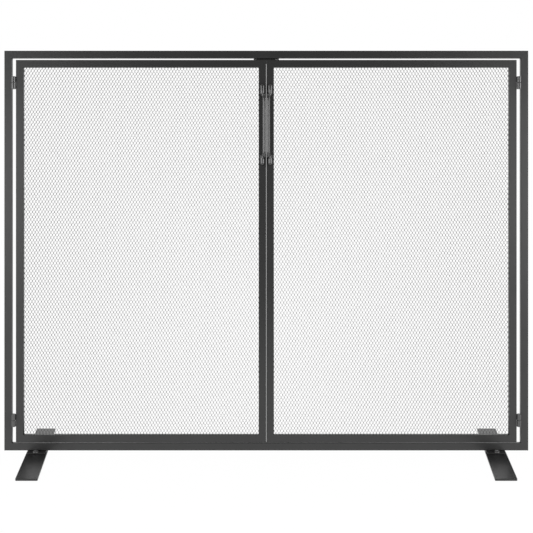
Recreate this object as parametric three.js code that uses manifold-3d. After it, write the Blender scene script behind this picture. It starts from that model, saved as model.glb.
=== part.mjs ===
// Free-standing fireplace screen: a welded tube frame on two flat feet, closed by two mesh doors.
// Millimetres, +Z up, +X to the viewer's right, and the doors open towards -Y.
// The origin is on the floor, under the middle of the feet and of the tubes' depth.

import * as THREE from 'three';
import { mergeVertices } from 'three/addons/utils/BufferGeometryUtils.js';
import Module from 'manifold-3d';

// Overall
const WIDTH = 990.6; // 39 in
const HEIGHT = 762; // 30 in, floor to the top of the frame
const GAP = 0.3; // left between pieces that touch

// Rectangular tube, used for the frame and for the doors
const TUBE_FACE = 14.2; // seen from the front
const TUBE_DEPTH = 8;
const TUBE_WALL = 1.0;
const TUBE_CORNER = 1.0; // outer corner radius
const BORE_CORNER = 0.3; // inner corner radius

// Feet, each a flat bar under a lug that is welded to the bottom rail; the bars slant, and their
// ends are cut parallel to the frame
const FOOT_LENGTH = 304.8; // 12 in, front to back
const FOOT_WIDTH = 38.6; // along the frame
const FOOT_THICKNESS = 3.6;
const FOOT_CORNER = 2;
const FOOT_X = 434; // from the middle to each foot's middle
const FOOT_SLANT = 8.25; // degrees that the front ends lean towards the middle
const LUG_LENGTH = 36;
const LUG_WIDTH = 34;
const LUG_THICKNESS = 2;
const LUG_CORNER = 2;

// Screws that hold the feet
const SCREW_SHANK_RADIUS = 2.5;
const SCREW_HEAD_RADIUS = 5.6;
const SCREW_HEAD_HEIGHT = 2.2;
const SCREW_DOME = 0.45; // share of the head's height that is rounded
const SCREW_DOME_SHOULDER = [0.8, 0.35]; // share of the head's radius, and share of the dome left above
const SCREW_DOME_FLAT = 0.45; // share of the head's radius that is flat on top
const SCREW_SPACING = 21; // front screw to back screw, either side of the rail

// Gaps round the doors
const SIDE_GAP = 7.7; // holds the hinge barrels
const TOP_GAP = 3.2;
const BOTTOM_GAP = 1.2;
const SEAM = 0.4; // between the two closed doors

// Barrel hinges, two on each door
const BARREL_RADIUS = 4.2;
const BARREL_HEIGHT = 24;
const BARREL_EDGE = 0.6; // bevel on the knuckles' outer rims
const BARREL_FORWARD = 1.6; // how far the axis stands in front of the frame's front face
const PIN_RADIUS = 1.8;
const HINGE_FROM_TOP = 60.8; // frame's top edge to the upper hinges' middle
const HINGE_FROM_BOTTOM = 57.7; // frame's bottom edge to the lower hinges' middle

// Mesh panels and the flat strips that clamp them to the backs of the doors
const MESH_THICKNESS = 0.3;
const MESH_LAP = 7.5; // how far the mesh reaches behind each tube
const STRIP_WIDTH = 4.5;
const STRIP_THICKNESS = 1.5;

// Handles: an upright grip on two arms, each arm on a stub that is welded along the stile
const GRIP_RADIUS = 3.25;
const GRIP_STANDOFF = 28; // front of the stile to the grip's centre line
const GRIP_FROM_SEAM = 3.6;
const GRIP_BEND = 9; // bend radius between grip and arm
const HANDLE_DROP = 140; // frame's top edge to the handle's middle
const UPPER_ARM = 55; // handle's middle up to the upper arm
const LOWER_ARM = -61; // and down to the lower arm
const STUB_RADIUS = 4.4;
const STUB_LENGTH = 22;
const STUB_RISE = 66; // handle's middle to each stub's middle
const STUB_SINK = 1.2; // how much of the stub's back is cut flat

// Catch at the top of the seam: a plate behind the doors with two magnets set in it
const CATCH_WIDTH = 47.8;
const CATCH_HEIGHT = 19;
const CATCH_THICKNESS = 2;
const CATCH_CORNER = 2;
const CATCH_LAP = 6.2; // how far the plate reaches down behind the doors
const MAGNET_RADIUS = 2.2;
const MAGNET_SPACING = 40.6;
const MAGNET_RISE = 6.3; // plate's bottom edge to the magnets' middle

// Worked out from the sizes above
const FRAME_BOTTOM = FOOT_THICKNESS + LUG_THICKNESS + 2 * GAP;
const FRAME_HEIGHT = HEIGHT - FRAME_BOTTOM;
const DOOR_OUTER_X = WIDTH / 2 - TUBE_FACE - SIDE_GAP;
const DOOR_WIDTH = DOOR_OUTER_X - SEAM / 2;
const DOOR_BOTTOM = FRAME_BOTTOM + TUBE_FACE + BOTTOM_GAP;
const DOOR_HEIGHT = HEIGHT - TUBE_FACE - TOP_GAP - DOOR_BOTTOM;
const HINGE_X = DOOR_OUTER_X + SIDE_GAP / 2;
const HANDLE_Z = HEIGHT - HANDLE_DROP;
const BACK = TUBE_DEPTH; // Y of the tubes' back in the screen's group, where their front is Y = 0

const LEFT = { name: 'left', sign: -1 };
const RIGHT = { name: 'right', sign: 1 };
const SIDES = [LEFT, RIGHT];

const powderCoat = new THREE.MeshStandardMaterial({ color: 0x2e2e30, roughness: 0.45, metalness: 0.3 });
const footCoat = new THREE.MeshStandardMaterial({ color: 0x29292b, roughness: 0.4, metalness: 0.3 });
const meshCoat = new THREE.MeshStandardMaterial({ color: 0x39393b, roughness: 0.5, metalness: 0.4 });
const handleCoat = new THREE.MeshStandardMaterial({ color: 0x222224, roughness: 0.25, metalness: 0.4 });
const zincPlate = new THREE.MeshStandardMaterial({ color: 0x8d8f90, roughness: 0.35, metalness: 0.9 });
const magnetMetal = new THREE.MeshStandardMaterial({ color: 0x77797b, roughness: 0.3, metalness: 0.9 });

const wasm = await Module();
wasm.setup();

const fireplaceScreen = new THREE.Group();
const screen = new THREE.Group(); // everything, with the front faces of its tubes at Y = 0
screen.position.y = -TUBE_DEPTH / 2;
fireplaceScreen.add(screen);

function addPart(name, geometry, material, position = [0, 0, 0], parent = screen) {
  const mesh = new THREE.Mesh(geometry, material);
  mesh.name = name;
  mesh.position.set(...position);
  parent.add(mesh);
  return mesh;
}

// Turns a closed geometry into a solid that can be joined or cut.
function toSolid(geometry) {
  const bare = geometry.clone();
  bare.deleteAttribute('normal');
  bare.deleteAttribute('uv');
  const merged = mergeVertices(bare, 1e-4);
  return new wasm.Manifold(new wasm.Mesh({
    numProp: 3,
    vertProperties: new Float32Array(merged.attributes.position.array),
    triVerts: new Uint32Array(merged.index.array),
  }));
}

function toGeometry(solid) {
  const { vertProperties, triVerts } = solid.getMesh();
  const geometry = new THREE.BufferGeometry();
  geometry.setAttribute('position', new THREE.BufferAttribute(vertProperties, 3));
  geometry.setIndex(new THREE.BufferAttribute(triVerts, 1));
  geometry.computeVertexNormals();
  return geometry;
}

// A rectangle about the origin with rounded corners.
function roundedRectangle(width, height, radius) {
  const x = width / 2;
  const y = height / 2;
  const shape = new THREE.Shape();
  shape.moveTo(x, y - radius);
  shape.absarc(x - radius, y - radius, radius, 0, Math.PI / 2);
  shape.absarc(-x + radius, y - radius, radius, Math.PI / 2, Math.PI);
  shape.absarc(-x + radius, -y + radius, radius, Math.PI, 1.5 * Math.PI);
  shape.absarc(x - radius, -y + radius, radius, 1.5 * Math.PI, 2 * Math.PI);
  return shape;
}

// A closed outline through the given corners, each of them rounded.
function roundedOutline(corners, radius) {
  const shape = new THREE.Shape();
  corners.forEach((corner, i) => {
    const before = corners.at(i - 1).clone().sub(corner).setLength(radius).add(corner);
    const after = corners[(i + 1) % corners.length].clone().sub(corner).setLength(radius).add(corner);
    if (i === 0) {
      shape.moveTo(before.x, before.y);
    } else {
      shape.lineTo(before.x, before.y);
    }
    shape.quadraticCurveTo(corner.x, corner.y, after.x, after.y);
  });
  shape.closePath();
  return shape;
}

function roundHole(x, y, radius) {
  return new THREE.Path().absarc(x, y, radius, 0, 2 * Math.PI);
}

// One hollow side of a mitred rectangle. Its outer edge lies along X at Z = 0 and the tube hangs below;
// both ends are cut at 45 degrees, a little short of the corner.
function mitredTube(length) {
  const section = roundedRectangle(TUBE_FACE, TUBE_DEPTH, TUBE_CORNER);
  const boreWidth = TUBE_FACE - 2 * TUBE_WALL;
  const boreDepth = TUBE_DEPTH - 2 * TUBE_WALL;
  section.holes.push(roundedRectangle(boreWidth, boreDepth, BORE_CORNER));
  const geometry = new THREE.ExtrudeGeometry(section, { depth: 1, bevelEnabled: false, curveSegments: 3 });
  const position = geometry.attributes.position;
  const endTrim = GAP / Math.SQRT2;
  for (let i = 0; i < position.count; i += 1) {
    const below = TUBE_FACE / 2 - position.getX(i); // distance down from the outer edge
    const end = length / 2 - below - endTrim;
    const along = position.getZ(i) < 0.5 ? end : -end;
    position.setXYZ(i, along, position.getY(i) + TUBE_DEPTH / 2, -below);
  }
  geometry.computeVertexNormals();
  return geometry;
}

// The four tubes of a mitred rectangle, centred on centreX with its bottom edge at bottomZ.
function addTubeRectangle(names, width, height, centreX, bottomZ) {
  const middleZ = bottomZ + height / 2;
  const rails = [
    [names.top, width, 0, [centreX, 0, bottomZ + height]],
    [names.bottom, width, Math.PI, [centreX, 0, bottomZ]],
    [names.left, height, -Math.PI / 2, [centreX - width / 2, 0, middleZ]],
    [names.right, height, Math.PI / 2, [centreX + width / 2, 0, middleZ]],
  ];
  for (const [name, length, turn, position] of rails) {
    addPart(name, mitredTube(length), powderCoat, position).rotation.y = turn;
  }
}

function addFrame() {
  const names = {
    top: 'frame_top_rail',
    bottom: 'frame_bottom_rail',
    left: 'frame_left_upright',
    right: 'frame_right_upright',
  };
  addTubeRectangle(names, WIDTH, FRAME_HEIGHT, 0, FRAME_BOTTOM);
}

// A flat bar lying on XY with a hole at each of the two screws, from Z = 0 up. Its long edges lean
// by the slope, and its ends stay parallel to X.
function drilledBar(width, length, slope, corner, thickness) {
  const x = width / 2;
  const y = length / 2;
  const lean = y * slope;
  const corners = [[x + lean, y], [-x + lean, y], [-x - lean, -y], [x - lean, -y]];
  const outline = roundedOutline(corners.map((point) => new THREE.Vector2(...point)), corner);
  for (const end of [-1, 1]) {
    outline.holes.push(roundHole(0, end * SCREW_SPACING / 2, SCREW_SHANK_RADIUS + GAP));
  }
  return new THREE.ExtrudeGeometry(outline, { depth: thickness, bevelEnabled: false, curveSegments: 6 });
}

// A pan-head screw standing on Z = 0, its shank pointing down.
function panHeadScrew(shankLength) {
  const dome = SCREW_HEAD_HEIGHT * SCREW_DOME;
  const [shoulderRadius, shoulderDrop] = SCREW_DOME_SHOULDER;
  const profile = [
    new THREE.Vector2(0, -shankLength),
    new THREE.Vector2(SCREW_SHANK_RADIUS, -shankLength),
    new THREE.Vector2(SCREW_SHANK_RADIUS, 0),
    new THREE.Vector2(SCREW_HEAD_RADIUS, 0),
    new THREE.Vector2(SCREW_HEAD_RADIUS, SCREW_HEAD_HEIGHT - dome),
    new THREE.Vector2(SCREW_HEAD_RADIUS * shoulderRadius, SCREW_HEAD_HEIGHT - dome * shoulderDrop),
    new THREE.Vector2(SCREW_HEAD_RADIUS * SCREW_DOME_FLAT, SCREW_HEAD_HEIGHT),
    new THREE.Vector2(0, SCREW_HEAD_HEIGHT),
  ];
  return new THREE.LatheGeometry(profile, 20).rotateX(Math.PI / 2);
}

// A foot, the lug over it and the two screws that go down through both.
function addFoot(side) {
  const x = side.sign * FOOT_X;
  const y = TUBE_DEPTH / 2;
  const slope = side.sign * Math.tan(THREE.MathUtils.degToRad(FOOT_SLANT));
  const lugBottom = FOOT_THICKNESS + GAP;
  const lugTop = lugBottom + LUG_THICKNESS;
  const bar = drilledBar(FOOT_WIDTH, FOOT_LENGTH, slope, FOOT_CORNER, FOOT_THICKNESS);
  addPart(`${side.name}_foot`, bar, footCoat, [x, y, 0]);
  const lug = drilledBar(LUG_WIDTH, LUG_LENGTH, slope, LUG_CORNER, LUG_THICKNESS);
  addPart(`${side.name}_foot_lug`, lug, powderCoat, [x, y, lugBottom]);
  for (const [end, sign] of [['front', -1], ['back', 1]]) {
    const screw = panHeadScrew(lugTop - GAP);
    const place = [x, y + sign * SCREW_SPACING / 2, lugTop + GAP];
    addPart(`${side.name}_foot_${end}_screw`, screw, zincPlate, place);
  }
}

// A plain hinge knuckle standing on Z = 0 round the hinge axis.
function knuckle(height) {
  const bore = PIN_RADIUS + GAP;
  const profile = [
    new THREE.Vector2(bore, 0),
    new THREE.Vector2(BARREL_RADIUS - BARREL_EDGE, 0),
    new THREE.Vector2(BARREL_RADIUS, BARREL_EDGE),
    new THREE.Vector2(BARREL_RADIUS, height - BARREL_EDGE),
    new THREE.Vector2(BARREL_RADIUS - BARREL_EDGE, height),
    new THREE.Vector2(bore, height),
    new THREE.Vector2(bore, 0),
  ];
  return new THREE.LatheGeometry(profile, 24).rotateX(Math.PI / 2);
}

// Each hinge has its lower knuckle and pin on the frame, and its upper knuckle on the door.
function addHinges(side) {
  const heights = {
    upper: HEIGHT - HINGE_FROM_TOP,
    lower: FRAME_BOTTOM + HINGE_FROM_BOTTOM,
  };
  const knuckleHeight = (BARREL_HEIGHT - GAP) / 2;
  for (const [level, middleZ] of Object.entries(heights)) {
    const x = side.sign * HINGE_X;
    const bottomZ = middleZ - BARREL_HEIGHT / 2;
    const upperZ = bottomZ + knuckleHeight + GAP;
    const stem = `${side.name}_${level}_hinge`;
    addPart(`${stem}_frame_knuckle`, knuckle(knuckleHeight), handleCoat, [x, -BARREL_FORWARD, bottomZ]);
    addPart(`${stem}_door_knuckle`, knuckle(knuckleHeight), handleCoat, [x, -BARREL_FORWARD, upperZ]);
    const pin = new THREE.CylinderGeometry(PIN_RADIUS, PIN_RADIUS, BARREL_HEIGHT, 20).rotateX(Math.PI / 2);
    addPart(`${stem}_pin`, pin, zincPlate, [x, -BARREL_FORWARD, middleZ]);
  }
}

// The mesh sheet and its four strips, behind the door's tubes.
function addMeshPanel(side, centreX) {
  const meshWidth = DOOR_WIDTH - 2 * (TUBE_FACE - MESH_LAP);
  const meshHeight = DOOR_HEIGHT - 2 * (TUBE_FACE - MESH_LAP);
  const middleZ = DOOR_BOTTOM + DOOR_HEIGHT / 2;
  const meshY = BACK + GAP + MESH_THICKNESS / 2;
  const stripY = BACK + 2 * GAP + MESH_THICKNESS + STRIP_THICKNESS / 2;
  const sheet = new THREE.BoxGeometry(meshWidth, MESH_THICKNESS, meshHeight);
  addPart(`${side.name}_door_mesh`, sheet, meshCoat, [centreX, meshY, middleZ]);
  const across = meshWidth / 2 - STRIP_WIDTH / 2;
  const up = meshHeight / 2 - STRIP_WIDTH / 2;
  const innerX = centreX - side.sign * across;
  const outerX = centreX + side.sign * across;
  const uprightLength = meshHeight - 2 * (STRIP_WIDTH + GAP);
  const strips = [
    ['top', meshWidth, STRIP_WIDTH, centreX, middleZ + up],
    ['bottom', meshWidth, STRIP_WIDTH, centreX, middleZ - up],
    ['inner', STRIP_WIDTH, uprightLength, innerX, middleZ],
    ['outer', STRIP_WIDTH, uprightLength, outerX, middleZ],
  ];
  for (const [edge, width, height, x, z] of strips) {
    const strip = new THREE.BoxGeometry(width, STRIP_THICKNESS, height);
    addPart(`${side.name}_door_${edge}_strip`, strip, powderCoat, [x, stripY, z]);
  }
}

// The centre line of the left handle's arms and grip, about the handle's middle height.
function gripCurve() {
  const stubX = -SEAM / 2 - TUBE_FACE / 2;
  const gripX = -GRIP_FROM_SEAM;
  const stubY = STUB_SINK - STUB_RADIUS;
  const bendStartX = gripX + (stubX - gripX) * GRIP_BEND / GRIP_STANDOFF;
  const curve = new THREE.CurvePath();
  const at = (x, y, z) => new THREE.Vector3(x, y, z);
  const topArmEnd = at(bendStartX, -GRIP_STANDOFF + GRIP_BEND, UPPER_ARM);
  const topGrip = at(gripX, -GRIP_STANDOFF, UPPER_ARM - GRIP_BEND);
  const bottomGrip = at(gripX, -GRIP_STANDOFF, LOWER_ARM + GRIP_BEND);
  const bottomArmEnd = at(bendStartX, -GRIP_STANDOFF + GRIP_BEND, LOWER_ARM);
  curve.add(new THREE.LineCurve3(at(stubX, stubY, UPPER_ARM), topArmEnd));
  const topCorner = at(gripX, -GRIP_STANDOFF, UPPER_ARM);
  const bottomCorner = at(gripX, -GRIP_STANDOFF, LOWER_ARM);
  curve.add(new THREE.QuadraticBezierCurve3(topArmEnd, topCorner, topGrip));
  curve.add(new THREE.LineCurve3(topGrip, bottomGrip));
  curve.add(new THREE.QuadraticBezierCurve3(bottomGrip, bottomCorner, bottomArmEnd));
  curve.add(new THREE.LineCurve3(bottomArmEnd, at(stubX, stubY, LOWER_ARM)));
  return curve;
}

// An upright round-ended stub, centred on the origin.
function stub() {
  const straight = STUB_LENGTH - 2 * STUB_RADIUS;
  return new THREE.CapsuleGeometry(STUB_RADIUS, straight, 4, 16).rotateX(Math.PI / 2);
}

// The left door's handle: grip, arms and stubs in one piece, with the stubs' backs cut flat on the stile.
function leftHandle() {
  const round = new THREE.Shape().absarc(0, 0, GRIP_RADIUS, 0, 2 * Math.PI);
  const sweep = { steps: 48, curveSegments: 6, bevelEnabled: false, extrudePath: gripCurve() };
  let handle = toSolid(new THREE.ExtrudeGeometry(round, sweep));
  const stubX = -SEAM / 2 - TUBE_FACE / 2;
  for (const end of [-1, 1]) {
    handle = handle.add(toSolid(stub().translate(stubX, STUB_SINK - STUB_RADIUS, end * STUB_RISE)));
  }
  const behind = 40; // a block as deep as the handle, taking away what lies behind the weld gap
  const block = new THREE.BoxGeometry(behind, behind, 4 * STUB_RISE).translate(stubX, behind / 2 - GAP, 0);
  return toGeometry(handle.subtract(toSolid(block)));
}

// A copy reflected left to right, with its faces turned back outwards.
function mirrored(geometry) {
  const copy = geometry.clone().scale(-1, 1, 1);
  const index = copy.index.array;
  for (let i = 0; i < index.length; i += 3) {
    [index[i], index[i + 1]] = [index[i + 1], index[i]];
  }
  copy.computeVertexNormals();
  return copy;
}

function addHandle(side) {
  const shape = side === LEFT ? leftHandle() : mirrored(leftHandle());
  addPart(`${side.name}_handle`, shape, handleCoat, [0, 0, HANDLE_Z]);
}

function addDoor(side) {
  const centreX = side.sign * (SEAM / 2 + DOOR_WIDTH / 2);
  const names = {
    top: `${side.name}_door_top_rail`,
    bottom: `${side.name}_door_bottom_rail`,
    left: side === LEFT ? 'left_door_outer_stile' : 'right_door_inner_stile',
    right: side === LEFT ? 'left_door_inner_stile' : 'right_door_outer_stile',
  };
  addTubeRectangle(names, DOOR_WIDTH, DOOR_HEIGHT, centreX, DOOR_BOTTOM);
  addMeshPanel(side, centreX);
  addHandle(side);
}

// The plate is welded to the back of the top rail; its lower part stops the doors and holds the magnets.
function addCatch() {
  const doorTop = DOOR_BOTTOM + DOOR_HEIGHT;
  const plateBottom = doorTop - CATCH_LAP;
  const outline = roundedRectangle(CATCH_WIDTH, CATCH_HEIGHT, CATCH_CORNER);
  for (const side of SIDES) {
    const x = side.sign * MAGNET_SPACING / 2;
    outline.holes.push(roundHole(x, MAGNET_RISE - CATCH_HEIGHT / 2, MAGNET_RADIUS + GAP));
    const disc = new THREE.CylinderGeometry(MAGNET_RADIUS, MAGNET_RADIUS, CATCH_THICKNESS, 24);
    const place = [x, BACK + GAP + CATCH_THICKNESS / 2, plateBottom + MAGNET_RISE];
    addPart(`${side.name}_catch_magnet`, disc, magnetMetal, place);
  }
  const flat = { depth: CATCH_THICKNESS, bevelEnabled: false, curveSegments: 6 };
  const plate = new THREE.ExtrudeGeometry(outline, flat).rotateX(Math.PI / 2);
  const place = [0, BACK + GAP + CATCH_THICKNESS, plateBottom + CATCH_HEIGHT / 2];
  addPart('catch_plate', plate, powderCoat, place);
}

addFrame();
for (const side of SIDES) {
  addFoot(side);
  addHinges(side);
  addDoor(side);
}
addCatch();

export default fireplaceScreen;
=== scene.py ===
"""Finished surfaces of a free-standing fireplace screen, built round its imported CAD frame.

Every length is in metres. X runs across the screen, Y from front to back and Z up. The origin
is on the floor, under the middle of the tubes' depth.
"""

import logging
import math
from dataclasses import dataclass
from enum import Enum

import bpy
import numpy as np
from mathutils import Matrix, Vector


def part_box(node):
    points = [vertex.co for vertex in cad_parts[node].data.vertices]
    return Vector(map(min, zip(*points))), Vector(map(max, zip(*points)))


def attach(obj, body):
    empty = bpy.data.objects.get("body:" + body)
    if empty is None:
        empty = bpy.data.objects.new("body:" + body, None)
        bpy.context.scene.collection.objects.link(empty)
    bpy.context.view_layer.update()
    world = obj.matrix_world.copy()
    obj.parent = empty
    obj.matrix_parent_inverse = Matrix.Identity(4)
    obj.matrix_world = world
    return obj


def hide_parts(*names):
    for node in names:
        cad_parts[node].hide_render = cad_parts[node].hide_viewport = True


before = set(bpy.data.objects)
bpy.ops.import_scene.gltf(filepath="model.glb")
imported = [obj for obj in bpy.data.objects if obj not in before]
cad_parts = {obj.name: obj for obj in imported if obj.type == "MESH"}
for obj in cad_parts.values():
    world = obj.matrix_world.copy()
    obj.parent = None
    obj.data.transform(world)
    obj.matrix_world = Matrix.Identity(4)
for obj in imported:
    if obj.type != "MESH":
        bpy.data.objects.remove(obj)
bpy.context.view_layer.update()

Array = np.ndarray
MM = 0.001
LOG = logging.getLogger("fireplace_screen")


class Part(str, Enum):
    """The CAD bodies that pieces ride on."""

    FRAME = "frame"
    LEFT_DOOR = "left_door"
    RIGHT_DOOR = "right_door"


class Hand(Enum):
    """The two halves of the screen; the value is the sign of X on that side."""

    LEFT = -1
    RIGHT = 1

    @property
    def word(self) -> str:
        """The side's name, as it stands at the start of node names."""
        return self.name.lower()

    @property
    def door(self) -> Part:
        """The body of this side's door."""
        return Part.LEFT_DOOR if self is Hand.LEFT else Part.RIGHT_DOOR


# ---------------------------------------------------------------- finishes


@dataclass(frozen=True)
class Finish:
    """One surface finish, made as a node material on Object coordinates.

    Attributes:
        name: the material's name.
        slot: the record's material slot that it belongs to; not used.
        tone: grey base tone, 0 to 1.
        tone_spread: how far the tone varies from place to place, as a share of itself.
        roughness: mean roughness.
        roughness_spread: how far the roughness varies each way.
        metallic: 0 for paint, 1 for bare metal.
        ior: refractive index of the paint or lacquer.
        grain: size of the surface's grain.
        grain_height: how deep the grain looks.
        grain_strength: how strongly the grain tilts the surface.
        patch: size of the patches that the tone varies in, as a multiple of the grain.
        noise_range: where a noise's usual values start and end.
    """

    name: str
    slot: str
    tone: float
    tone_spread: float = 0.15
    roughness: float = 0.4
    roughness_spread: float = 0.05
    metallic: float = 0.0
    ior: float = 1.5
    grain: float = 0.8 * MM
    grain_height: float = 0.02 * MM
    grain_strength: float = 0.6
    patch: float = 60.0
    noise_range: tuple[float, float] = (0.3, 0.7)

    def noise(self, tree: bpy.types.NodeTree, size: float, detail: float) -> bpy.types.Node:
        """Adds a noise texture on Object coordinates.

        Args:
            tree: the material's node tree.
            size: the size of one feature.
            detail: octaves of the noise.

        Returns:
            The noise node.
        """
        place = tree.nodes.new("ShaderNodeTexCoord")
        texture = tree.nodes.new("ShaderNodeTexNoise")
        texture.inputs["Scale"].default_value = 1.0 / size
        texture.inputs["Detail"].default_value = detail
        tree.links.new(place.outputs["Object"], texture.inputs["Vector"])
        return texture

    def ranged(self, tree: bpy.types.NodeTree, source: bpy.types.Node,
               low: float, high: float) -> bpy.types.Node:
        """Maps a noise's usual spread of values onto the range from low to high.

        Args:
            tree: the material's node tree.
            source: the noise node.
            low: value where the noise is low.
            high: value where the noise is high.

        Returns:
            The Map Range node.
        """
        node = tree.nodes.new("ShaderNodeMapRange")
        node.inputs["From Min"].default_value = self.noise_range[0]
        node.inputs["From Max"].default_value = self.noise_range[1]
        node.inputs["To Min"].default_value = low
        node.inputs["To Max"].default_value = high
        tree.links.new(source.outputs["Fac"], node.inputs["Value"])
        return node

    def material(self) -> bpy.types.Material:
        """Makes the material, or returns it if it has been made already."""
        made = bpy.data.materials.get(self.name)
        if made is not None:
            return made
        made = bpy.data.materials.new(self.name)
        made.use_nodes = True
        tree = made.node_tree
        shader = tree.nodes["Principled BSDF"]
        shader.inputs["Metallic"].default_value = self.metallic
        shader.inputs["IOR"].default_value = self.ior
        patches = self.noise(tree, self.patch * self.grain, detail=3.0)
        low = self.tone * (1 - self.tone_spread)
        high = self.tone * (1 + self.tone_spread)
        tone = self.ranged(tree, patches, low, high)
        colour = tree.nodes.new("ShaderNodeCombineColor")
        for channel in ("Red", "Green", "Blue"):
            tree.links.new(tone.outputs["Result"], colour.inputs[channel])
        tree.links.new(colour.outputs["Color"], shader.inputs["Base Color"])
        fine = self.noise(tree, self.grain, detail=2.0)
        spread = self.roughness_spread
        rough = self.ranged(tree, fine, self.roughness - spread, self.roughness + spread)
        tree.links.new(rough.outputs["Result"], shader.inputs["Roughness"])
        bump = tree.nodes.new("ShaderNodeBump")
        bump.inputs["Strength"].default_value = self.grain_strength
        bump.inputs["Distance"].default_value = self.grain_height
        tree.links.new(fine.outputs["Fac"], bump.inputs["Height"])
        tree.links.new(bump.outputs["Normal"], shader.inputs["Normal"])
        return made


POWDER_COAT = Finish("satin_powder_coat", "frame_coat", tone=0.013, roughness=0.36, ior=1.6)
# The feet wear a copy of the frame's powder coat with a darker tone and slightly different gloss;
# the darker tone is painted shade, standing in for the dark the feet pick up from the frame above
# them.
SHADE_DARKENED_FOOT_COAT = Finish("foot_powder_coat", "foot_coat", tone=0.006, roughness=0.33, ior=1.57)
MESH_COAT = Finish("mesh_powder_coat", "mesh", tone=0.03, roughness=0.45, ior=1.5, grain=0.5 * MM)
HINGE_ENAMEL = Finish("hinge_gloss_enamel", "hinge_black", tone=0.015, roughness=0.16, ior=2.0)
HANDLE_ENAMEL = Finish("handle_gloss_enamel", "handle_black", tone=0.01, roughness=0.13, ior=1.9)
ZINC = Finish("zinc_plate", "zinc", tone=0.3, roughness=0.34, metallic=1.0, grain=0.4 * MM)
MAGNET_PLATE = Finish("magnet_nickel", "magnet", tone=0.5, roughness=0.25, metallic=1.0)


# ---------------------------------------------------------------- mesh making


def node_box(*nodes: str) -> tuple[Array, Array]:
    """Returns the lowest and highest corner of one or more CAD nodes together."""
    boxes = [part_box(node) for node in nodes]
    low = np.min([np.array(box[0]) for box in boxes], axis=0)
    high = np.max([np.array(box[1]) for box in boxes], axis=0)
    return low, high


def signed_volume(points: Array, groups: list[Array]) -> float:
    """Adds up triple products over the triangles of every face, taken from the first point.

    Args:
        points: vertices, one row each.
        groups: face arrays, each with the same number of corners along its rows.

    Returns:
        Six times the enclosed volume, positive where faces point outwards.
    """
    total = 0.0
    local = points - points[0]
    for faces in groups:
        first = local[faces[:, 0]]
        for corner in range(1, faces.shape[1] - 1):
            a, b = local[faces[:, corner]], local[faces[:, corner + 1]]
            total += float(np.einsum("ij,ij->", first, np.cross(a, b)))
    return total


def mesh_from(name: str, points: Array, groups: list[Array], sharp_degrees: float) -> bpy.types.Mesh:
    """Makes a smooth-shaded mesh from whole arrays, with its faces turned outwards.

    Args:
        name: the mesh's name.
        points: vertices, one row each.
        groups: face arrays, each with the same number of corners along its rows.
        sharp_degrees: edges that turn more than this are shaded sharp.

    Returns:
        The new mesh.
    """
    if signed_volume(points, groups) < 0:
        groups = [faces[:, ::-1] for faces in groups]
    corners = np.concatenate([faces.ravel() for faces in groups])
    sizes = np.concatenate([np.full(len(faces), faces.shape[1]) for faces in groups])
    starts = np.concatenate([[0], np.cumsum(sizes)[:-1]])
    mesh = bpy.data.meshes.new(name)
    mesh.vertices.add(len(points))
    mesh.vertices.foreach_set("co", np.ascontiguousarray(points, np.float32).ravel())
    mesh.loops.add(len(corners))
    mesh.loops.foreach_set("vertex_index", corners.astype(np.int32))
    mesh.polygons.add(len(sizes))
    mesh.polygons.foreach_set("loop_start", starts.astype(np.int32))
    mesh.polygons.foreach_set("use_smooth", np.ones(len(sizes), bool))
    mesh.update(calc_edges=True)
    mesh.validate()
    mesh.set_sharp_from_angle(angle=math.radians(sharp_degrees))
    return mesh


def skin(rings: Array, joined: bool = False, kept: Array | None = None) -> tuple[Array, list[Array]]:
    """Covers rows of rings with quads, and closes both ends of each row.

    Point k of ring j is joined to point k + 1 of the same ring and to point k of ring j + 1.
    Where some stretches of a row are left out, each run that stays is closed at its own ends.

    Args:
        rings: points as (row, ring, point, xyz), or (ring, point, xyz) for one row.
        joined: whether the last ring of a row joins its first, as on a torus.
        kept: for each row, which stretches between rings are built; all of them if None.

    Returns:
        The vertices and the face arrays.
    """
    rows = rings if rings.ndim == 4 else rings[None]
    count, stations, around, _ = rows.shape
    index = np.arange(count * stations * around).reshape(count, stations, around)
    turned = np.roll(index, -1, axis=2)
    ahead = np.roll(index, -1, axis=1)
    ahead_turned = np.roll(turned, -1, axis=1)
    quads = np.stack([index, turned, ahead_turned, ahead], axis=-1)
    if joined:
        return rows.reshape(-1, 3), [quads.reshape(-1, 4)]
    if kept is None:
        kept = np.ones((count, stations - 1), bool)
    edge = np.zeros((count, 1), bool)
    before = np.concatenate([edge, kept], axis=1)
    after = np.concatenate([kept, edge], axis=1)
    sides = quads[:, :-1][kept].reshape(-1, 4)
    starts = index[after & ~before][:, ::-1]
    ends = index[before & ~after]
    used = np.zeros(index.size, bool)
    used[sides] = True
    renumber = np.cumsum(used) - 1
    groups = [renumber[faces] for faces in (sides, starts, ends)]
    return rows.reshape(-1, 3)[used], groups


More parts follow.
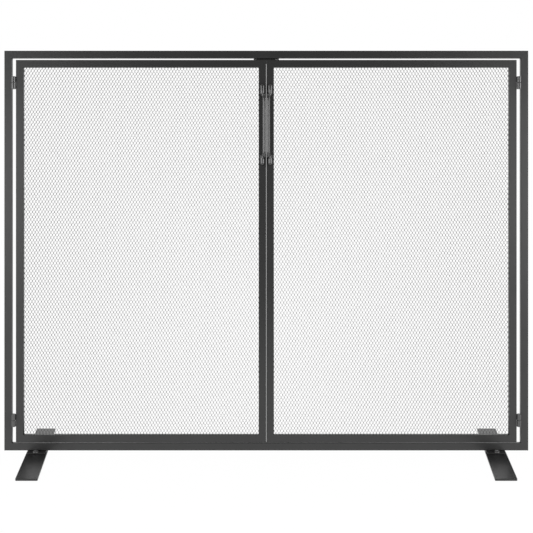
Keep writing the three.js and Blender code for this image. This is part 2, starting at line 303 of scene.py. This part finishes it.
def rounded_loop(width: float, height: float, radius: float, steps: int,
                 hold: float = 0.15 * MM) -> tuple[Array, Array]:
    """Returns a rectangle with round corners about the origin, and its outward normals.

    Each corner is an arc, centre plus radius times (cos a, sin a) over a quarter turn. One more
    point stands a little way along the straight on each side, which keeps the flats shaded flat.

    Args:
        width: size along the first axis.
        height: size along the second axis.
        radius: corner radius.
        steps: arc steps in each corner.
        hold: distance from each arc's end to its extra point.

    Returns:
        Points and normals, each as (point, 2), anticlockwise.
    """
    quarter = np.linspace(0, np.pi / 2, steps + 1)
    angle = quarter + np.arange(4)[:, None] * np.pi / 2
    normal = np.stack([np.cos(angle), np.sin(angle)], axis=-1)
    signs = np.array([[1, 1], [-1, 1], [-1, -1], [1, -1]], float)
    centre = signs * [width / 2 - radius, height / 2 - radius]
    arc = centre[:, None] + radius * normal
    tangent = np.stack([-np.sin(angle), np.cos(angle)], axis=-1)
    first = arc[:, :1] - hold * tangent[:, :1]
    last = arc[:, -1:] + hold * tangent[:, -1:]
    points = np.concatenate([first, arc, last], axis=1).reshape(-1, 2)
    normals = np.concatenate([normal[:, :1], normal, normal[:, -1:]], axis=1).reshape(-1, 2)
    return points, normals


def slanted(outline: tuple[Array, Array], slope: float) -> tuple[Array, Array]:
    """Slides an outline's points along the first axis by slope times their second coordinate.

    A normal (a, b) becomes (a, b - slope times a), brought back to unit length.

    Args:
        outline: points and normals, each as (point, 2).
        slope: how far a point slides for each metre along the second axis.

    Returns:
        The slanted points and their normals.
    """
    points, normals = outline
    moved = points + points[:, 1:] * [slope, 0.0]
    turned = normals - normals[:, :1] * [0.0, slope]
    return moved, turned / np.linalg.norm(turned, axis=1, keepdims=True)


def circle_loop(radius: float, steps: int) -> tuple[Array, Array]:
    """Returns a circle about the origin and its outward normals, each as (point, 2)."""
    angle = np.linspace(0, 2 * np.pi, steps, endpoint=False)
    normals = np.stack([np.cos(angle), np.sin(angle)], axis=-1)
    return radius * normals, normals


def plate_rings(outline: tuple[Array, Array], thickness: float, edge: float,
                hold: float = 0.2 * MM, steps: int = 3) -> Array:
    """Rings of a flat plate whose rims are rounded, from its bottom face to its top face.

    Each ring is the outline moved inwards along its normals by edge times (1 - sin a), at a height
    of edge times (1 - cos a) from the nearer face, with one more ring further in on each face.

    Args:
        outline: the plan's points and normals.
        thickness: height of the plate, from 0 up.
        edge: radius of its rims.
        hold: distance from each rim to the extra ring on the face.
        steps: arc steps over each rim.

    Returns:
        Rings as (ring, point, xyz).
    """
    angle = np.linspace(0, np.pi / 2, steps + 1)
    inset = np.concatenate([[edge + hold], edge * (1 - np.sin(angle))])
    height = np.concatenate([[0.0], edge * (1 - np.cos(angle))])
    inset = np.concatenate([inset, inset[::-1]])
    height = np.concatenate([height, thickness - height[::-1]])
    points, normals = outline
    plan = points[None] - normals[None] * inset[:, None, None]
    level = np.broadcast_to(height[:, None, None], plan.shape[:2] + (1,))
    return np.concatenate([plan, level], axis=-1)


def lathe_rings(profile: Array, steps: int) -> Array:
    """Turns a profile of (radius, height) about Z into rings as (ring, point, xyz)."""
    angle = np.linspace(0, 2 * np.pi, steps, endpoint=False)
    radius, height = profile[:, :1], profile[:, 1:]
    level = np.broadcast_to(height, (len(profile), steps))
    return np.stack([radius * np.cos(angle), radius * np.sin(angle), level], axis=-1)


def turned_about_z(points: Array, degrees: float) -> Array:
    """Turns points about Z by the right-hand rule."""
    cosine, sine = math.cos(math.radians(degrees)), math.sin(math.radians(degrees))
    return points @ np.array([[cosine, sine, 0], [-sine, cosine, 0], [0, 0, 1.0]])


def laid_on_y(points: Array) -> Array:
    """Turns points that were made along Z so that they run along Y instead."""
    return points @ np.array([[1.0, 0, 0], [0, 0, -1.0], [0, 1.0, 0]])


def base_centre(low: Array, high: Array) -> Array:
    """Returns the middle of a box's bottom face."""
    return np.array([(low[0] + high[0]) / 2, (low[1] + high[1]) / 2, low[2]])


def centred(rings: Array, low: Array, high: Array) -> Array:
    """Moves rings so that the middle of their own box is the middle of the given one."""
    own = (rings.min(axis=(0, 1)) + rings.max(axis=(0, 1))) / 2
    return rings - own + (low + high) / 2


def add_piece(name: str, solid: tuple[Array, list[Array]], finish: Finish, part: Part,
              nodes: tuple[str, ...] = (), sharp_degrees: float = 50.0) -> bpy.types.Object:
    """Puts one finished piece in the scene and ties it to its body and CAD nodes.

    Args:
        name: the piece's name.
        solid: its vertices and face arrays, in the screen's own frame.
        finish: its surface finish.
        part: the body that it moves with.
        nodes: the CAD nodes that it stands for.
        sharp_degrees: edges that turn more than this are shaded sharp.

    Returns:
        The new object.
    """
    mesh = mesh_from(name, *solid, sharp_degrees)
    mesh.materials.append(finish.material())
    piece = bpy.data.objects.new(name, mesh)
    bpy.context.scene.collection.objects.link(piece)
    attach(piece, part.value)
    if nodes:
        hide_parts(*nodes)
    LOG.info("%s: %d faces on %s", name, len(mesh.polygons), part.value)
    return piece


def dress_node(node: str, finish: Finish) -> None:
    """Gives a CAD node that stays as it is its finish."""
    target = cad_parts[node]
    target.data.materials.clear()
    target.data.materials.append(finish.material())
    LOG.info("%s: CAD shape kept, dressed in %s", node, finish.name)


# ---------------------------------------------------------------- tubes


@dataclass(frozen=True)
class TubeRectangle:
    """Four tubes mitred and welded into a rectangle.

    Attributes:
        part: the body that they belong to.
        top, bottom, left, right: their CAD nodes.
        corner: outer corner radius of the tube.
        steps: arc steps in each corner of the section.
    """

    part: Part
    top: str
    bottom: str
    left: str
    right: str
    corner: float = 0.7 * MM
    steps: int = 5

    def section(self, face: float, depth: float) -> Array:
        """Returns the section as (point, 2): inwards from the outer edge, back from the front."""
        points, _ = rounded_loop(face, depth, self.corner, self.steps)
        return points + [face / 2, depth / 2]

    def tube(self, start: Array, end: Array, inward: Array,
             section: Array) -> tuple[Array, list[Array]]:
        """Makes one tube with both ends cut at 45 degrees.

        A section point goes inwards from the outer edge by its first number and back by its
        second, and the end rings lean in by that first number too, which makes the mitres.

        Args:
            start: outer corner where the tube starts.
            end: outer corner where it ends.
            inward: unit vector from the outer edge towards the middle of the rectangle.
            section: the tube's section.

        Returns:
            The tube's vertices and faces.
        """
        along = (end - start) / np.linalg.norm(end - start)
        across = section[:, :1] * inward + section[:, 1:] * np.array([0, 1.0, 0])
        lean = section[:, :1] * along
        return skin(np.stack([start + across + lean, end + across - lean]))

    def build(self) -> None:
        """Builds the four tubes on the rectangle that their CAD nodes span."""
        low, high = node_box(self.top, self.bottom, self.left, self.right)
        rail_low, rail_high = node_box(self.top)
        section = self.section(rail_high[2] - rail_low[2], rail_high[1] - rail_low[1])
        y = low[1]
        corners = {
            "top_left": np.array([low[0], y, high[2]]),
            "top_right": np.array([high[0], y, high[2]]),
            "bottom_left": np.array([low[0], y, low[2]]),
            "bottom_right": np.array([high[0], y, low[2]]),
        }
        runs = (
            (self.top, "top_left", "top_right", (0, 0, -1)),
            (self.bottom, "bottom_left", "bottom_right", (0, 0, 1)),
            (self.left, "bottom_left", "top_left", (1, 0, 0)),
            (self.right, "bottom_right", "top_right", (-1, 0, 0)),
        )
        for node, start, end, inward in runs:
            solid = self.tube(corners[start], corners[end], np.array(inward, float), section)
            add_piece(f"{node}_tube", solid, POWDER_COAT, self.part, (node,))


# ---------------------------------------------------------------- feet


@dataclass(frozen=True)
class Foot:
    """A flat bar foot with the lug and the two screws that hold it.

    Attributes:
        hand: the side that it stands on.
        width: the bar's size along the frame.
        corner, corner_steps: corner radius of its plan, and the arc steps in each corner.
        edge: radius of its rims.
        slant: degrees that its front end leans towards the middle; the ends stay parallel to X.
        head_radius: radius of the screws' pan heads.
        head_dome: share of a head's height that is rounded.
        head_turn: degrees that the cross recesses are turned from the frame's axes.
        recess_reach, recess_width: half the cross recess's length, and half its arms' width.
        recess_depth, recess_slope: its depth, and how wide its sloping walls are.
    """

    hand: Hand
    width: float = 38.6 * MM
    corner: float = 2 * MM
    corner_steps: int = 6
    edge: float = 0.5 * MM
    slant: float = 8.25
    head_radius: float = 5.6 * MM
    head_dome: float = 0.45
    head_turn: float = 20.0
    recess_reach: float = 2.6 * MM
    recess_width: float = 0.75 * MM
    recess_depth: float = 1.2 * MM
    recess_slope: float = 0.3 * MM

    def bar(self) -> None:
        """Builds the flat bar, with its rims rounded."""
        node = f"{self.hand.word}_foot"
        low, high = node_box(node)
        square = rounded_loop(self.width, high[1] - low[1], self.corner, self.corner_steps)
        outline = slanted(square, self.hand.value * math.tan(math.radians(self.slant)))
        rings = plate_rings(outline, high[2] - low[2], self.edge)
        solid = skin(rings + base_centre(low, high))
        # The bar takes the feet's darker coat, whose extra darkness is painted shade.
        add_piece(f"{node}_bar", solid, SHADE_DARKENED_FOOT_COAT, Part.FRAME, (node,))

    def head(self, height: float) -> Array:
        """Points of a pan head with a cross recess, as rings from the rim to the middle.

        The height over the face falls off as the fourth power of the radius, like a low dome, and
        inside the cross it drops by the recess depth over a short slope.

        Args:
            height: height of the head.

        Returns:
            Rings as (ring, point, xyz), standing on Z = 0.
        """
        share = np.concatenate([[1.0, 1.0, 0.985, 0.95], np.linspace(0.9, 0.02, 26)])
        angle = np.linspace(0, 2 * np.pi, 64, endpoint=False)
        x = self.head_radius * share[:, None] * np.cos(angle)
        y = self.head_radius * share[:, None] * np.sin(angle)
        dome = height * (1 - self.head_dome * share**4)
        dome[0] = 0.0
        across = np.minimum(np.abs(x), np.abs(y))
        along = np.maximum(np.abs(x), np.abs(y))
        in_width = np.clip((self.recess_width - across) / self.recess_slope, 0, 1)
        in_reach = np.clip((self.recess_reach - along) / self.recess_slope, 0, 1)
        z = dome[:, None] - self.recess_depth * in_width * in_reach
        return np.stack([x, y, z], axis=-1)

    def screw(self, end: str) -> None:
        """Builds one pan-head screw over its CAD node.

        Args:
            end: front or back.
        """
        node = f"{self.hand.word}_foot_{end}_screw"
        low, high = node_box(node)
        lug_top = node_box(f"{self.hand.word}_foot_lug")[1][2]
        rings = turned_about_z(self.head(high[2] - lug_top), self.head_turn)
        solid = skin(rings + [*base_centre(low, high)[:2], lug_top])
        add_piece(f"{node}_pan", solid, ZINC, Part.FRAME, (node,), sharp_degrees=35)

    def build(self) -> None:
        """Builds the bar and the screws, and dresses the lug."""
        self.bar()
        for end in ("front", "back"):
            self.screw(end)
        dress_node(f"{self.hand.word}_foot_lug", POWDER_COAT)


# ---------------------------------------------------------------- hinges


@dataclass(frozen=True)
class BarrelHinge:
    """A welded barrel hinge: a knuckle on the frame, a knuckle on the door and the pin through both.

    Attributes:
        hand: the side of the screen.
        level: upper or lower.
        bore: radius of the hole through the knuckles.
        rim: radius of the knuckles' rims.
        dome: height of the low dome at each end of the pin.
        bead: half the depth of the weld beads, from front to back.
        bead_slimness: their width as a share of their depth.
        bead_side, bead_back: from the axis to a bead, as shares of the knuckle's radius.
        bead_inset: how much shorter than the knuckle a bead is at each end.
        ripple, ripples: how far the bead swells as a share of itself, and how many times.
    """

    hand: Hand
    level: str
    bore: float = 2.1 * MM
    rim: float = 0.55 * MM
    dome: float = 0.6 * MM
    bead: float = 1.1 * MM
    bead_slimness: float = 0.8
    bead_side: float = 0.86
    bead_back: float = 0.55
    bead_inset: float = 0.6 * MM
    ripple: float = 0.06
    ripples: int = 6

    @property
    def stem(self) -> str:
        """The start of this hinge's node names."""
        return f"{self.hand.word}_{self.level}_hinge"

    def knuckle(self, node: str, part: Part) -> None:
        """Builds a knuckle: a rounded rectangle of (radius, height) carried once round the axis.

        Args:
            node: its CAD node.
            part: the body that it belongs to.
        """
        low, high = node_box(node)
        radius = (high[0] - low[0]) / 2
        wall, height = radius - self.bore, high[2] - low[2]
        loop, _ = rounded_loop(wall, height, self.rim, 4)
        profile = loop + [self.bore + wall / 2, height / 2]
        rings = np.swapaxes(lathe_rings(profile, 40), 0, 1)
        solid = skin(rings + base_centre(low, high), joined=True)
        add_piece(f"{node}_barrel", solid, HINGE_ENAMEL, part, (node,))

    def weld(self, node: str, part: Part, side: float) -> None:
        """Lays a weld bead between a knuckle and the tube beside it.

        The bead is an ellipse in plan, swollen and pinched a little along its height by a sine, so
        that it shows the ripples of a short hand weld. The fourth root of half a sine wave rounds
        its two ends.

        Args:
            node: the knuckle's CAD node.
            part: the body that it belongs to.
            side: sign of X from the hinge axis towards the tube.
        """
        low, high = node_box(node)
        share = np.linspace(0, 1, 25)
        ripple = 1 + self.ripple * np.sin(share * 2 * self.ripples * np.pi)
        swell = np.clip(np.sin(np.pi * np.clip(share, 0.02, 0.98)), 0.05, 1) ** 0.25 * ripple
        reach = self.bead * swell[:, None]
        angle = np.linspace(0, 2 * np.pi, 16, endpoint=False)
        radius = (high[0] - low[0]) / 2
        axis = base_centre(low, high)
        x = axis[0] + side * radius * self.bead_side + reach * self.bead_slimness * np.cos(angle)
        y = axis[1] + radius * self.bead_back + reach * np.sin(angle)
        z = low[2] + self.bead_inset + (high[2] - low[2] - 2 * self.bead_inset) * share
        rings = np.stack([x, y, np.broadcast_to(z[:, None], x.shape)], axis=-1)
        add_piece(f"{node}_weld", skin(rings), POWDER_COAT, part)

    def pin(self) -> None:
        """Builds the pin with a low dome at each end, closed by a small flat in its middle."""
        node = f"{self.stem}_pin"
        low, high = node_box(node)
        radius = (high[0] - low[0]) / 2
        angle = np.linspace(0.05, np.pi / 2, 6)
        share, drop = np.sin(angle), self.dome * (1 - np.cos(angle))
        length = high[2] - low[2]
        heights = np.concatenate([drop, length - drop[::-1]])
        profile = np.stack([radius * np.concatenate([share, share[::-1]]), heights], axis=-1)
        solid = skin(lathe_rings(profile, 24) + base_centre(low, high))
        add_piece(f"{node}_rod", solid, ZINC, Part.FRAME, (node,))

    def build(self) -> None:
        """Builds both knuckles, their welds and the pin."""
        fixed, swinging = f"{self.stem}_frame_knuckle", f"{self.stem}_door_knuckle"
        outward = float(self.hand.value)
        self.knuckle(fixed, Part.FRAME)
        self.weld(fixed, Part.FRAME, outward)
        self.knuckle(swinging, self.hand.door)
        self.weld(swinging, self.hand.door, -outward)
        self.pin()


# ---------------------------------------------------------------- doors


@dataclass(frozen=True)
class DiamondMesh:
    """A sheet of expanded metal: zigzag strands that meet side by side in upright bonds.

    Attributes:
        hand: the door's side.
        pitch_x: width of a diamond.
        pitch_z: height of a diamond.
        strand: width of a strand.
        depth: thickness of a strand from front to back.
        rake: how far a strand's section rises for each metre towards the back.
        bond: height of the straight stretch where two strands meet.
        bond_offset: from a bond's middle to each of its strands, as a share of a strand's width.
        lean: degrees that the columns lean towards the middle of the screen, going up.
        fall: degrees that the rows fall towards the middle of the screen.
    """

    hand: Hand
    pitch_x: float = 5.973 * MM
    pitch_z: float = 9.74 * MM
    strand: float = 0.5 * MM
    depth: float = 0.9 * MM
    rake: float = -0.168
    bond: float = 2.2 * MM
    bond_offset: float = 0.38
    lean: float = 1.36
    fall: float = 0.28

    def strands(self, low: Array, high: Array, upper: bool) -> tuple[Array, list[Array]]:
        """Builds the strands of one half of the sheet as bent bars of raked section.

        Strand i zigzags about column i, half a diamond wide. At each half diamond of height it runs
        straight up for the length of a bond and then goes over to the other side; odd columns
        zigzag the other way. Columns and rows are then sheared by the lean and the fall, and a
        stretch is kept where both of its ends lie in the sheet.

        Args:
            low: the sheet's lowest corner.
            high: the sheet's highest corner.
            upper: whether it is the half above the middle, or the one below.

        Returns:
            The vertices and faces of all the strands.
        """
        middle = (low + high) / 2
        half = (high - low) / 2
        spare = half[2] * math.tan(math.radians(self.lean)) + self.pitch_x
        columns = int(np.ceil((half[0] + spare) / (self.pitch_x / 2)))
        rows = int(np.ceil((half[2] + self.pitch_z) / (self.pitch_z / 2)))
        i = np.arange(-columns, columns + 1)[:, None]
        bends = np.arange(0, rows + 1) if upper else np.arange(-rows, 1)
        j = np.repeat(bends, 2)[None, :]
        end = np.tile([-0.5, 0.5], len(bends))[None, :]
        swing = self.pitch_x / 4 - self.strand * self.bond_offset
        across = (i + 0.5) * self.pitch_x / 2 + np.where((i + j) % 2 == 0, swing, -swing)
        up = np.broadcast_to(j * self.pitch_z / 2 + end * self.bond, across.shape)
        inward = -self.hand.value
        x = across + inward * up * math.tan(math.radians(self.lean))
        z = up - inward * across * math.tan(math.radians(self.fall))
        inside = (np.abs(x) <= half[0]) & (np.abs(z) <= half[2])
        kept = inside[:, 1:] & inside[:, :-1]
        wide, deep = self.strand / 2, self.depth / 2
        section = np.array([[wide, -deep], [wide, deep], [-wide, deep], [-wide, -deep]])
        rings = np.empty(x.shape + (4, 3))
        rings[..., 0] = middle[0] + x[..., None] + section[:, 0]
        rings[..., 1] = middle[1] + section[:, 1]
        rings[..., 2] = middle[2] + z[..., None] + self.rake * section[:, 1]
        return skin(rings, kept=kept)

    def build(self) -> None:
        """Builds both halves of the sheet in place of its plain CAD stand-in."""
        node = f"{self.hand.word}_door_mesh"
        low, high = node_box(node)
        for word, upper in (("upper", True), ("lower", False)):
            solid = self.strands(low, high, upper)
            nodes = (node,) if upper else ()
            name = f"{node}_{word}_lattice"
            add_piece(name, solid, MESH_COAT, self.hand.door, nodes, sharp_degrees=30)


@dataclass(frozen=True)
class PullHandle:
    """An upright grip on two arms, each arm ending in a round stub welded along the stile.

    Attributes:
        hand: the door's side.
        rod: radius of grip and arms.
        bend: bend radius where grip turns into arm.
        upper_arm, lower_arm: heights of the arms over the handle's middle.
        stub: radius of the stubs.
        stub_length: their length.
        sink: how much of a stub's back is pressed flat on the stile.
    """

    hand: Hand
    rod: float = 3.25 * MM
    bend: float = 9 * MM
    upper_arm: float = 55 * MM
    lower_arm: float = -61 * MM
    stub: float = 4.4 * MM
    stub_length: float = 22 * MM
    sink: float = 1.2 * MM

    def centre_line(self, reach: float) -> Array:
        """Points of the rod's centre line in the plane of grip and arms, as (distance out, height).

        A straight arm, a quarter circle of the bend radius, the straight grip, and the same again.

        Args:
            reach: distance from the stubs' centre lines out to the grip's centre line.

        Returns:
            Points from the top arm's root to the bottom arm's root.
        """
        turn = np.linspace(0, np.pi / 2, 13)
        straight = np.linspace(0, reach - self.bend, 5)[:-1]
        out = np.concatenate([straight, reach - self.bend + self.bend * np.sin(turn)])
        drop = np.concatenate([np.zeros_like(straight), self.bend * (1 - np.cos(turn))])
        top = np.stack([out, self.upper_arm - drop], axis=-1)
        bottom = np.stack([out, self.lower_arm + drop], axis=-1)[::-1]
        heights = np.linspace(self.upper_arm - self.bend, self.lower_arm + self.bend, 22)[1:-1]
        grip = np.stack([np.full_like(heights, reach), heights], axis=-1)
        return np.concatenate([top, grip, bottom])

    def rod_rings(self, path: Array, out: Array) -> Array:
        """Carries a circle along the centre line.

        Each ring stands square to the path: one axis is the plane's normal, the other lies in the
        plane at right angles to the tangent.

        Args:
            path: centre line as (distance out, height).
            out: unit vector from the stile out to the grip.

        Returns:
            Rings as (ring, point, xyz).
        """
        tangent = np.gradient(path, axis=0)
        tangent /= np.linalg.norm(tangent, axis=1, keepdims=True)
        up = np.array([0, 0, 1.0])
        normal = np.cross(out, up)
        centre = path[:, :1] * out + path[:, 1:] * up
        side = -tangent[:, 1:] * out + tangent[:, :1] * up
        angle = np.linspace(0, 2 * np.pi, 24, endpoint=False)[None, :, None]
        return centre[:, None] + self.rod * (np.cos(angle) * normal + np.sin(angle) * side[:, None])

    def stub_rings(self, back: float) -> Array:
        """Rings of an upright capsule whose back is pressed flat on the stile.

        Each end starts a little off the axis and is closed by a small flat.

        Args:
            back: distance from the capsule's centre line to the stile.

        Returns:
            Rings as (ring, point, xyz), centred on the origin.
        """
        angle = np.linspace(0.04, np.pi / 2, 9)
        straight = self.stub_length / 2 - self.stub
        radius = self.stub * np.sin(angle)
        height = -straight - self.stub * np.cos(angle)
        lower = np.stack([radius, height], axis=-1)
        profile = np.concatenate([lower, lower[::-1] * [1, -1]])
        rings = lathe_rings(profile, 32)
        rings[..., 1] = np.minimum(rings[..., 1], back)
        return rings

    def build(self) -> None:
        """Builds grip, arms and stubs over the CAD handle."""
        node = f"{self.hand.word}_handle"
        low, high = node_box(node)
        sign = self.hand.value
        middle = (low[2] + high[2]) / 2
        inner, outer = (high[0], low[0]) if sign < 0 else (low[0], high[0])
        back = self.stub - self.sink
        stile_front = node_box(f"{self.hand.word}_door_inner_stile")[0][1]
        stub_centre = np.array([outer - sign * self.stub, stile_front - back, middle])
        grip_centre = np.array([inner + sign * self.rod, low[1] + self.rod, middle])
        out = grip_centre - stub_centre
        reach = float(np.linalg.norm(out))
        out = out / reach
        rod = self.rod_rings(self.centre_line(reach), out) + stub_centre
        add_piece(f"{node}_bar", skin(rod), HANDLE_ENAMEL, self.hand.door, (node,))
        for word, way in (("upper", 1), ("lower", -1)):
            lift = np.array([0, 0, way * ((high[2] - low[2]) / 2 - self.stub_length / 2)])
            rings = self.stub_rings(back) + stub_centre + lift
            add_piece(f"{node}_{word}_stub", skin(rings), HANDLE_ENAMEL, self.hand.door)


@dataclass(frozen=True)
class Door:
    """One door: its tubes, mesh, clamping strips and handle.

    Attributes:
        hand: the side that it hangs on.
        strip_edge: radius of the strips' rims.
        strip_corner: corner radius of their faces.
    """

    hand: Hand
    strip_edge: float = 0.35 * MM
    strip_corner: float = 0.6 * MM

    def tubes(self) -> TubeRectangle:
        """Returns the door's four tubes."""
        word = self.hand.word
        top, bottom = f"{word}_door_top_rail", f"{word}_door_bottom_rail"
        sides = (f"{word}_door_outer_stile", f"{word}_door_inner_stile")
        left, right = sides if self.hand is Hand.LEFT else sides[::-1]
        return TubeRectangle(self.hand.door, top, bottom, left, right)

    def strip(self, edge_name: str) -> None:
        """Builds one flat clamping strip with eased rims.

        Args:
            edge_name: which edge of the door it runs along.
        """
        node = f"{self.hand.word}_door_{edge_name}_strip"
        low, high = node_box(node)
        size = high - low
        outline = rounded_loop(size[0], size[2], self.strip_corner, steps=3)
        rings = laid_on_y(plate_rings(outline, size[1], self.strip_edge))
        solid = skin(centred(rings, low, high))
        add_piece(f"{node}_flat", solid, POWDER_COAT, self.hand.door, (node,))

    def build(self) -> None:
        """Builds the whole door."""
        self.tubes().build()
        for edge_name in ("top", "bottom", "inner", "outer"):
            self.strip(edge_name)
        DiamondMesh(self.hand).build()
        PullHandle(self.hand).build()


@dataclass(frozen=True)
class Catch:
    """The catch plate at the top of the seam and its two magnets.

    Attributes:
        rim: radius of the magnets' rims.
    """

    rim: float = 0.3 * MM

    def magnet(self, hand: Hand) -> None:
        """Builds one disc magnet with eased rims."""
        node = f"{hand.word}_catch_magnet"
        low, high = node_box(node)
        size = high - low
        rings = laid_on_y(plate_rings(circle_loop(size[0] / 2, steps=40), size[1], self.rim))
        solid = skin(centred(rings, low, high))
        add_piece(f"{node}_disc", solid, MAGNET_PLATE, Part.FRAME, (node,))

    def build(self) -> None:
        """Builds the magnets and dresses the plate."""
        dress_node("catch_plate", POWDER_COAT)
        for hand in Hand:
            self.magnet(hand)


# ---------------------------------------------------------------- studio


@dataclass(frozen=True)
class SoftBox:
    """A rectangular soft box that hangs on both sides of the screen, mirrored in X.

    Attributes:
        name: what it is called, after the side's name.
        place: where the one on the right hangs.
        size: its width and height.
        power: its power in watts.
    """

    name: str
    place: tuple[float, float, float]
    size: tuple[float, float]
    power: float

    def hang(self, hand: Hand, aim: Vector) -> None:
        """Hangs the box of one side.

        Args:
            hand: the side.
            aim: the point that it faces.
        """
        name = f"{hand.word}_{self.name}"
        data = bpy.data.lights.new(name, "AREA")
        data.shape = "RECTANGLE"
        data.size, data.size_y = self.size
        data.energy = self.power
        light = bpy.data.objects.new(name, data)
        x, y, z = self.place
        light.location = (hand.value * x, y, z)
        away = aim - Vector(light.location)
        light.rotation_euler = away.to_track_quat("-Z", "Y").to_euler()
        bpy.context.scene.collection.objects.link(light)


@dataclass(frozen=True)
class Studio:
    """A white studio: floor, backdrop light, soft boxes and the camera.

    Attributes:
        distance: from the camera to the origin, along Y.
        height: of the camera over the floor.
        lens, sensor: focal length and sensor width in millimetres.
        shift: the camera's vertical shift, which keeps uprights parallel.
        side_shift: its sideways shift.
        backdrop: brightness of everything behind the screen.
        surround: brightness of the room in front of it.
        turnover: the directions' Y at which the surround ends and the backdrop is reached.
        floor_front: where the white floor ends in front of the screen.
        floor_reach: how far it goes back and to each side.
        floor_tone, floor_roughness: its base tone and roughness.
        floor_glow: strength of its own light.
        boxes: the soft boxes.
        aim: the height over the origin that they face.
    """

    distance: float = 1.617
    height: float = 0.5064
    lens: float = 57.64
    sensor: float = 36.0
    shift: float = -0.1512
    side_shift: float = 0.0004
    backdrop: float = 1.0
    surround: float = 0.27
    turnover: tuple[float, float] = (-0.6, 0.3)
    floor_front: float = -1.25
    floor_reach: float = 6.0
    floor_tone: float = 0.03
    floor_roughness: float = 0.9
    floor_glow: float = 0.98
    boxes: tuple[SoftBox, ...] = (
        SoftBox("front_box", (1.55, -2.6, 0.5), (0.8, 1.0), 9.8),
        SoftBox("side_box", (2.3, -1.2, 0.8), (1.6, 1.5), 19.0),
    )
    aim: float = 0.4

    def camera(self) -> None:
        """Puts the camera square in front of the screen."""
        data = bpy.data.cameras.new("front_camera")
        data.lens = self.lens
        data.sensor_width = self.sensor
        data.shift_y = self.shift
        data.shift_x = self.side_shift
        data.clip_end = 50.0
        camera = bpy.data.objects.new("front_camera", data)
        camera.location = (0.0, -self.distance, self.height)
        camera.rotation_euler = (math.pi / 2, 0.0, 0.0)
        bpy.context.scene.collection.objects.link(camera)
        bpy.context.scene.camera = camera

    def world(self) -> None:
        """Lights the scene from a pale surround that is brightest behind the screen.

        The camera sees a plain white backdrop. What the metal reflects goes from the surround's
        level in front to the backdrop's level behind, by the direction's Y.
        """
        world = bpy.data.worlds.new("studio")
        bpy.context.scene.world = world
        world.use_nodes = True
        tree = world.node_tree
        background = tree.nodes["Background"]
        seen = tree.nodes.new("ShaderNodeLightPath")
        place = tree.nodes.new("ShaderNodeTexCoord")
        split = tree.nodes.new("ShaderNodeSeparateXYZ")
        level = tree.nodes.new("ShaderNodeMapRange")
        level.inputs["From Min"].default_value = self.turnover[0]
        level.inputs["From Max"].default_value = self.turnover[1]
        level.inputs["To Min"].default_value = self.surround
        level.inputs["To Max"].default_value = self.backdrop
        mix = tree.nodes.new("ShaderNodeMix")
        mix.inputs["B"].default_value = self.backdrop
        tree.links.new(place.outputs["Generated"], split.inputs["Vector"])
        tree.links.new(split.outputs["Y"], level.inputs["Value"])
        tree.links.new(seen.outputs["Is Camera Ray"], mix.inputs["Factor"])
        tree.links.new(level.outputs["Result"], mix.inputs["A"])
        tree.links.new(mix.outputs["Result"], background.inputs["Strength"])
        background.inputs["Color"].default_value = (1.0, 1.0, 1.0, 1.0)

    def floor(self) -> None:
        """Lays a plain pale floor lit almost wholly by its own glow, so its shadows stay faint."""
        reach, front = self.floor_reach, self.floor_front
        corners = [(-reach, front, 0), (reach, front, 0), (reach, reach, 0), (-reach, reach, 0)]
        mesh = bpy.data.meshes.new("floor")
        mesh.from_pydata(corners, [], [(0, 1, 2, 3)])
        material = bpy.data.materials.new("floor_white")
        material.use_nodes = True
        shader = material.node_tree.nodes["Principled BSDF"]
        shader.inputs["Base Color"].default_value = (*[self.floor_tone] * 3, 1.0)
        shader.inputs["Roughness"].default_value = self.floor_roughness
        shader.inputs["Specular IOR Level"].default_value = 0.0
        shader.inputs["Emission Color"].default_value = (1.0, 1.0, 1.0, 1.0)
        shader.inputs["Emission Strength"].default_value = self.floor_glow
        mesh.materials.append(material)
        floor = bpy.data.objects.new("floor", mesh)
        bpy.context.scene.collection.objects.link(floor)

    def build(self) -> None:
        """Sets up camera, world, floor and lights."""
        self.camera()
        self.world()
        self.floor()
        for hand in Hand:
            for box in self.boxes:
                box.hang(hand, Vector((0.0, 0.0, self.aim)))
        bpy.context.scene.view_settings.view_transform = "Standard"
        LOG.info("studio: camera %.2f m in front, %.2f m up", self.distance, self.height)


# ---------------------------------------------------------------- the whole screen


def main() -> None:
    """Builds the camera and studio, then the frame, feet, hinges, doors and catch, in that order."""
    Studio().build()
    rails = ("frame_top_rail", "frame_bottom_rail")
    uprights = ("frame_left_upright", "frame_right_upright")
    TubeRectangle(Part.FRAME, *rails, *uprights).build()
    for hand in Hand:
        Foot(hand).build()
        for level in ("upper", "lower"):
            BarrelHinge(hand, level).build()
        Door(hand).build()
    Catch().build()


if __name__ == "__main__":
    logging.basicConfig(level=logging.INFO, format="%(name)s %(message)s")
    main()
